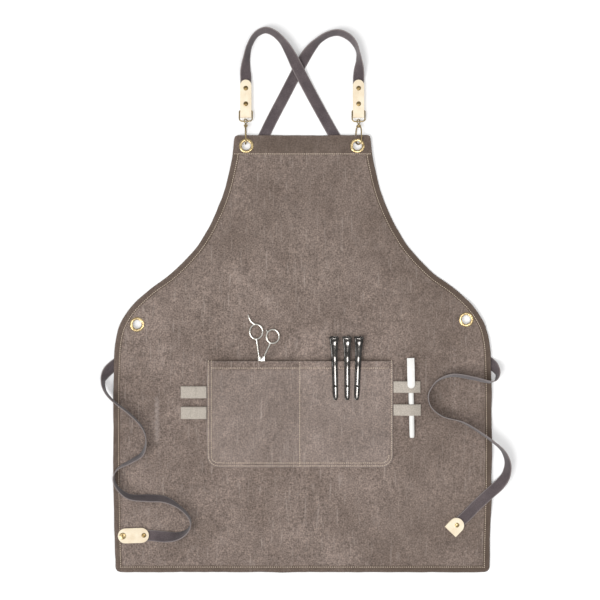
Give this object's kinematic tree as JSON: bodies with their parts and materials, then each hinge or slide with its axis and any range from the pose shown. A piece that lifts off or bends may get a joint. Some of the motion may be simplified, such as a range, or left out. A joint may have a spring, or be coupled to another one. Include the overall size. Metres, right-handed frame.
{
  "type": "cross-back canvas apron",
  "caption": "Full-length canvas work apron with cross-back webbing straps on snap hooks, a divided tool pocket, elastic tool loops and the tools it holds.",
  "frame": {"origin": "bottom centre of the apron with its top tabs and hooks, lying flat on its back", "axes": "+Y from hem to neck along the centre line, +Z out of the front, +X to the viewer's right"},
  "size_m": [0.7363, 0.9811, 0.0261],
  "materials": {
    "canvas": "washed canvas",
    "webbing": "woven webbing",
    "elastic": "woven elastic",
    "leather": "natural leather",
    "brass": "antique brass",
    "steel": "satin steel",
    "gunmetal": "gloss gunmetal",
    "white_plastic": "gloss white"
  },
  "bodies": {
    "apron": {"body_panel": "canvas", "pocket": "canvas", "loop_left_upper": "elastic", "loop_left_lower": "elastic", "loop_right_upper": "elastic", "loop_right_lower": "elastic", "strap_left": "webbing", "strap_right": "webbing", "tab_left": "leather", "tab_right": "leather", "tail_tab_left": "leather", "tail_tab_right": "leather", "tail_rivet_left": "brass", "tail_rivet_right": "brass", "tail_stud_left": "brass", "eyelet_bib_left": "brass", "washer_bib_left": "brass", "eyelet_bib_right": "brass", "washer_bib_right": "brass", "eyelet_hip_left": "brass", "washer_hip_left": "brass", "eyelet_hip_right": "brass", "washer_hip_right": "brass", "tab_rivet_left_1": "brass", "tab_rivet_left_2": "brass", "tab_rivet_right_1": "brass", "tab_rivet_right_2": "brass"},
    "ring_left": {"ring_left": "brass"},
    "eye_left": {"swivel_eye_left": "brass"},
    "hook_left": {"hook_body_left": "brass"},
    "gate_left": {"gate_left": "brass"},
    "ring_right": {"ring_right": "brass"},
    "eye_right": {"swivel_eye_right": "brass"},
    "hook_right": {"hook_body_right": "brass"},
    "gate_right": {"gate_right": "brass"},
    "scissors": {"scissors_lower": "steel", "scissors_screw": "steel"},
    "scissors_half": {"scissors_upper": "steel"},
    "clip_1": {"clip_1_back": "gunmetal", "clip_1_pin": "steel"},
    "clip_1_front": {"clip_1_front": "gunmetal"},
    "clip_2": {"clip_2_back": "gunmetal", "clip_2_pin": "steel"},
    "clip_2_front": {"clip_2_front": "gunmetal"},
    "clip_3": {"clip_3_back": "gunmetal", "clip_3_pin": "steel"},
    "clip_3_front": {"clip_3_front": "gunmetal"},
    "pen": {"pen_barrel": "white_plastic", "pen_clip": "white_plastic"}
  },
  "joints": [
    {"name": "ring_swing_left", "type": "hinge", "parent": "apron", "child": "ring_left", "pos_m": [-0.102, 0.3886, 0.0043], "axis": [-1, 0, 0], "range_deg": [0, 3]},
    {"name": "eye_tilt_left", "type": "hinge", "parent": "ring_left", "child": "eye_left", "pos_m": [-0.102, 0.36913, 0.0079], "axis": [-1, 0, 0], "range_deg": [-6, 6]},
    {"name": "hook_swivel_left", "type": "hinge", "parent": "eye_left", "child": "hook_left", "pos_m": [-0.102, 0.36913, 0.0079], "axis": [0, 1, 0], "range_deg": [-12, 12]},
    {"name": "gate_swing_left", "type": "hinge", "parent": "hook_left", "child": "gate_left", "pos_m": [-0.102, 0.35873, 0.0032], "axis": [-1, 0, 0], "range_deg": [0, 18], "stiffness_Nm_per_rad": 0.02, "springref_deg": -17.19},
    {"name": "ring_swing_right", "type": "hinge", "parent": "apron", "child": "ring_right", "pos_m": [0.101, 0.3886, 0.0043], "axis": [-1, 0, 0], "range_deg": [0, 3]},
    {"name": "eye_tilt_right", "type": "hinge", "parent": "ring_right", "child": "eye_right", "pos_m": [0.101, 0.36885, 0.00575], "axis": [-1, 0, 0], "range_deg": [-6, 6]},
    {"name": "hook_swivel_right", "type": "hinge", "parent": "eye_right", "child": "hook_right", "pos_m": [0.101, 0.36885, 0.00575], "axis": [0, 1, 0], "range_deg": [-12, 3]},
    {"name": "gate_swing_right", "type": "hinge", "parent": "hook_right", "child": "gate_right", "pos_m": [0.09751, 0.35845, 0.0026], "axis": [-0.6691, 0, 0.7431], "range_deg": [0, 18], "stiffness_Nm_per_rad": 0.02, "springref_deg": -17.19},
    {"name": "scissors_slide", "type": "slide", "parent": "apron", "child": "scissors", "axis": [0, 1, 0], "range_m": [0, 0.1]},
    {"name": "scissors_open", "type": "hinge", "parent": "scissors", "child": "scissors_half", "pos_m": [-0.0738, -0.0716, 0.0076], "axis": [0, 0, -1], "range_deg": [0, 40]},
    {"name": "clip_1_slide", "type": "slide", "parent": "apron", "child": "clip_1", "axis": [-0.0244, 0.9997, 0], "range_m": [0, 0.08]},
    {"name": "clip_1_pinch", "type": "hinge", "parent": "clip_1", "child": "clip_1_front", "pos_m": [0.0574, -0.059, 0.0122], "axis": [-0.9997, -0.0244, 0], "range_deg": [0, 10], "stiffness_Nm_per_rad": 0.3, "springref_deg": -17.19},
    {"name": "clip_2_slide", "type": "slide", "parent": "apron", "child": "clip_2", "axis": [0, 1, 0], "range_m": [0, 0.08]},
    {"name": "clip_2_pinch", "type": "hinge", "parent": "clip_2", "child": "clip_2_front", "pos_m": [0.0801, -0.059, 0.0122], "axis": [-1, 0, 0], "range_deg": [0, 10], "stiffness_Nm_per_rad": 0.3, "springref_deg": -17.19},
    {"name": "clip_3_slide", "type": "slide", "parent": "apron", "child": "clip_3", "axis": [0.0401, 0.9992, 0], "range_m": [0, 0.08]},
    {"name": "clip_3_pinch", "type": "hinge", "parent": "clip_3", "child": "clip_3_front", "pos_m": [0.0999, -0.059, 0.0122], "axis": [-0.9992, 0.0401, 0], "range_deg": [0, 10], "stiffness_Nm_per_rad": 0.3, "springref_deg": -17.19},
    {"name": "pen_slide", "type": "slide", "parent": "apron", "child": "pen", "axis": [-0.0209, 0.9998, 0], "range_m": [0, 0.11]}
  ],
  "couplings": [
    {"joint": "eye_tilt_left", "follows": "ring_swing_left", "ratio": -1.9},
    {"joint": "eye_tilt_right", "follows": "ring_swing_right", "ratio": -1.9}
  ]
}
